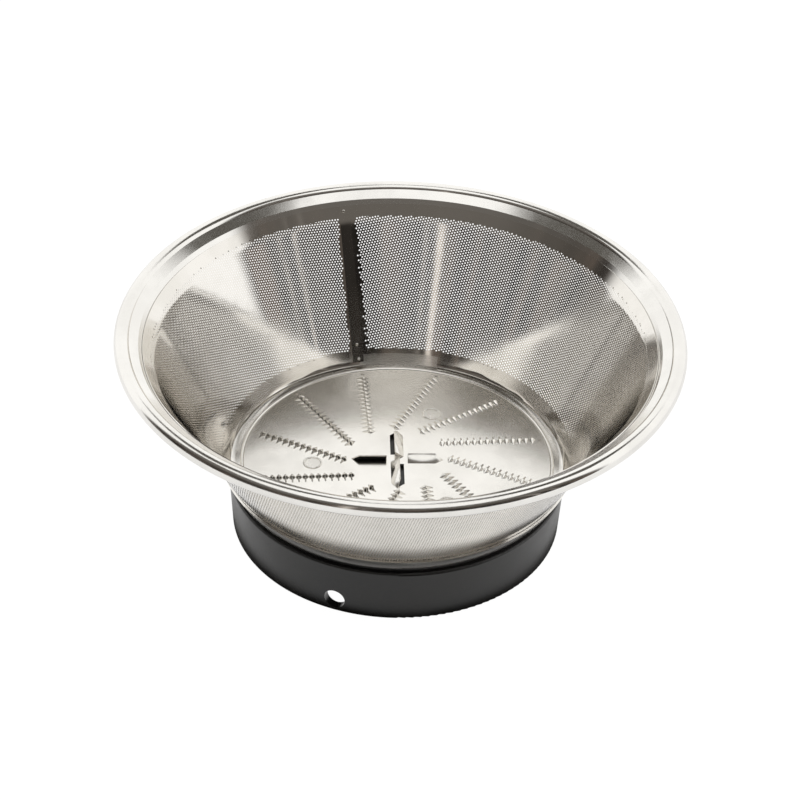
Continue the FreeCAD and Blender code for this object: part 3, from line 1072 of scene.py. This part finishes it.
# %% [markdown]
# The disc itself is one filled outline with all the slots, mouths and rivet holes left open, thickened
# downwards. A turned bead stiffens its edge, and a low round lip stands where each rivet was set. The dish
# under it is filled in the same way further down, so the filling is a helper.

# %% Disc plate with its openings
PLATE_R = 46.95
plate_t = 0.7 * MM
RIVET_REACH = 26
RIVET_HOLE_R = 2.85
rivet_spots = [math.radians(66.8 + 120 * k) for k in range(3)]


def rivet_outlines():
    """Outlines of the three rivet holes."""
    middles = [(RIVET_REACH * math.cos(a), RIVET_REACH * math.sin(a)) for a in rivet_spots]
    return [draw_hole(RIVET_HOLE_R, x, y, 48) for x, y in middles]


def fill_flat(piece, top, thickness):
    """Fill the outlines of a flat piece at the height of its top, and thicken it downwards."""
    pick(piece, "edges", np.ones(len(piece.data.edges)))
    bpy.ops.transform.translate(value=(0, 0, top - disc_top))
    bpy.ops.mesh.fill(use_beauty=True)
    face_outwards()
    facing = sum(p.normal.z * p.area for p in piece.data.polygons)
    print("flat area", round(abs(facing) * 1e6), "mm2")
    apply_modifier(piece, "SOLIDIFY", thickness=thickness, offset=-1 if facing > 0 else 1)


rivet_holes = rivet_outlines()
plate = join([draw_hole(PLATE_R, 0, 0, 240), slots] + mouths + rivet_holes)
fill_flat(plate, disc_top, plate_t)

# %% Edge bead and rivet lips
BEAD_SIDE = ((46.9, 20.2), (46.9, 20.9), (47.0, 21.15), (47.25, 21.34), (47.5, 21.4))
BEAD_OUTSIDE = ((47.75, 21.34), (48.0, 21.15), (48.1, 20.9), (48.1, 20.2), (46.9, 20.2))
lip_r = 2.65 * MM
lip_wire = 0.3 * MM
edge_bead = draw_chain([Vector((x * MM, 0, z * MM)) for x, z in BEAD_SIDE + BEAD_OUTSIDE])
turn_chain(240)
lips = []
for angle in rivet_spots:
    deselect()
    bpy.ops.mesh.primitive_torus_add(
        major_radius=lip_r,
        minor_radius=lip_wire,
        major_segments=60,
        minor_segments=12,
        location=(RIVET_REACH * MM * math.cos(angle), RIVET_REACH * MM * math.sin(angle), disc_top),
    )
    bpy.ops.object.transform_apply()
    lips.append(bpy.context.object)
disc = join([plate, edge_bead, scoops] + louvres + lips)
bpy.ops.object.shade_smooth_by_angle(angle=SMOOTH_ANGLE)
finish_piece(disc, "pressed_disc", "disc_steel", disc_finish, "grater_disc")

# %% [markdown]
# The cup is the shallow dish that the screen's foot is lapped in. Its floor is a flat ring with three rivet
# holes, and its upstand follows the wall outside the screen, with a rounded corner at the foot, whose lip
# is the thin line above the black base.

# %% Cup under the screen
CUP_FLOOR_R = 49.4
CUP_BEND_R = 50.5
CUP_HOLE_R = 18.5
UPSTAND_TOP = 5.4
UPSTAND_INSIDE, UPSTAND_OUTSIDE = 0.4, 1.0
cup_t = 0.6 * MM
cup_rivets = rivet_outlines()
cup = join([draw_hole(CUP_FLOOR_R, 0, 0, 240), draw_hole(CUP_HOLE_R, 0, 0, 120)] + cup_rivets)
fill_flat(cup, floor_z, cup_t)
corner = on_wall(0.9, 0.0)
wall_side = math.degrees(slope) - 90
section = [Vector((CUP_FLOOR_R * MM, 0, floor_z)), Vector((CUP_BEND_R * MM, 0, floor_z))]
section += [on_wall(0.4, UPSTAND_INSIDE), on_wall(UPSTAND_TOP, UPSTAND_INSIDE)]
section += [on_wall(UPSTAND_TOP, UPSTAND_OUTSIDE)]
section += round_off(corner, UPSTAND_OUTSIDE, wall_side, -82, 8)
section += [Vector((CUP_FLOOR_R * MM, 0, floor_z - cup_t)), section[0]]
upstand = draw_chain(section)
turn_chain(RIM_STEPS)
cup = join([cup, upstand])
bpy.ops.object.shade_smooth_by_angle(angle=SMOOTH_ANGLE)
finish_piece(cup, "dished_cup", "cup_steel", cup_finish, "base_cup")
